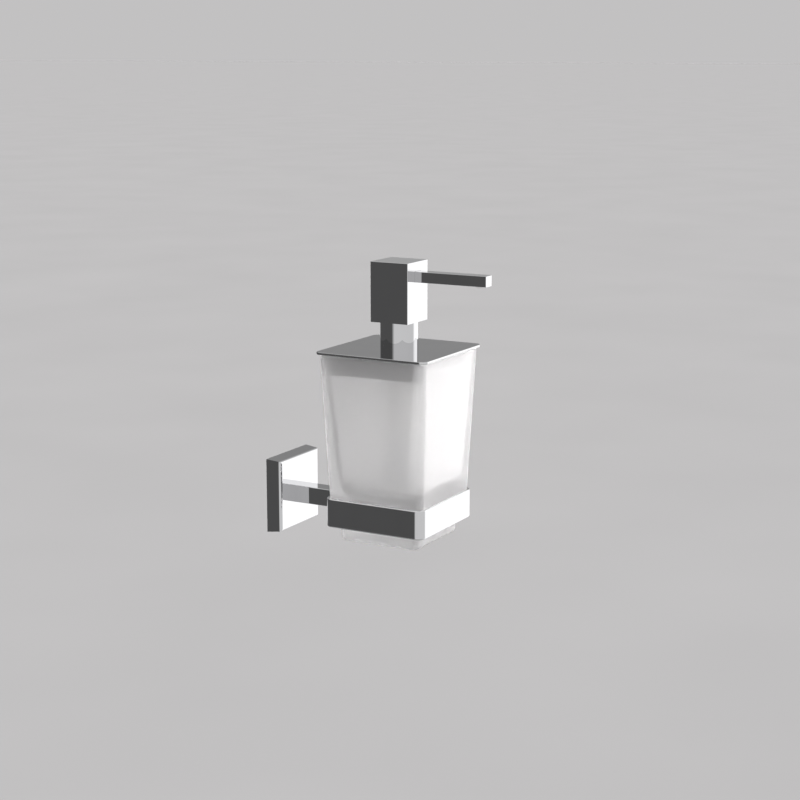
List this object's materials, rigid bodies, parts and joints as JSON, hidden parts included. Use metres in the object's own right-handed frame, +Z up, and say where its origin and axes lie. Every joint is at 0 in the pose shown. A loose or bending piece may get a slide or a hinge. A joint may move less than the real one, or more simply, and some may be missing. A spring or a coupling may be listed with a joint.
{
  "type": "wall mounted soap dispenser",
  "caption": "Wall mounted soap dispenser: chrome square holder, tapered frosted glass vessel and a chrome push pump with a thin square spout.",
  "frame": {"origin": "on the wall, midway between the two wall screws, at the centre of the rosette's back", "axes": "the wall is the plane Y = 0 and the dispenser stands out along -Y; +Z up; +X to the right for someone facing the wall"},
  "size_m": [0.0756, 0.1423, 0.1748],
  "materials": {
    "chrome": "polished chrome plate on brass",
    "frosted_glass": "satin etched on the outside",
    "zinc": "plain cast zinc",
    "steel": "bright stainless steel",
    "white_plastic": "natural moulded polypropylene",
    "clear_plastic": "translucent tube",
    "clear_rubber": "translucent soft vinyl",
    "piston_rubber": "black moulded rubber"
  },
  "bodies": {
    "holder": {"wall_bracket": "zinc", "rosette": "chrome", "rosette_grub_screw": "steel", "arm_lock_washer": "steel", "arm_screw": "steel", "arm": "chrome", "holder_ring": "chrome", "seat_gasket": "clear_rubber"},
    "vessel": {"glass_vessel": "frosted_glass"},
    "lid": {"lid_plate": "chrome", "lid_skirt": "chrome", "lid_gasket": "clear_rubber", "collar": "chrome", "collar_washer": "clear_rubber", "lock_nut": "white_plastic", "housing_gasket": "clear_rubber", "pump_housing": "white_plastic", "stem_guide": "white_plastic", "dip_tube": "clear_plastic", "spring_seat": "white_plastic", "spring": "steel"},
    "inlet_valve": {"inlet_ball": "steel"},
    "plunger": {"stem": "white_plastic", "piston": "piston_rubber"},
    "outlet_valve": {"outlet_ball": "steel"},
    "head": {"head_shell": "chrome", "head_core": "white_plastic", "spout_o_ring": "piston_rubber", "spout": "chrome", "nozzle": "white_plastic"}
  },
  "joints": [
    {"name": "vessel_lift", "type": "slide", "parent": "holder", "child": "vessel", "axis": [0, 0, 1], "range_m": [0, 0.03]},
    {"name": "lid_lift", "type": "slide", "parent": "vessel", "child": "lid", "axis": [0, 0, 1], "range_m": [0, 0.085]},
    {"name": "inlet_valve_lift", "type": "slide", "parent": "lid", "child": "inlet_valve", "axis": [0, 0, 1], "range_m": [0, 0.0018]},
    {"name": "pump_press", "type": "slide", "parent": "lid", "child": "plunger", "axis": [0, 0, -1], "range_m": [0, 0.013], "stiffness_N_per_m": 600, "springref_m": -0.012, "deforming": ["spring"]},
    {"name": "outlet_valve_lift", "type": "slide", "parent": "plunger", "child": "outlet_valve", "axis": [0, 0, 1], "range_m": [0, 0.0013]},
    {"name": "head_swivel", "type": "hinge", "parent": "plunger", "child": "head", "pos_m": [0, -0.0822, 0.13], "axis": [0, 0, 1], "continuous": true}
  ]
}
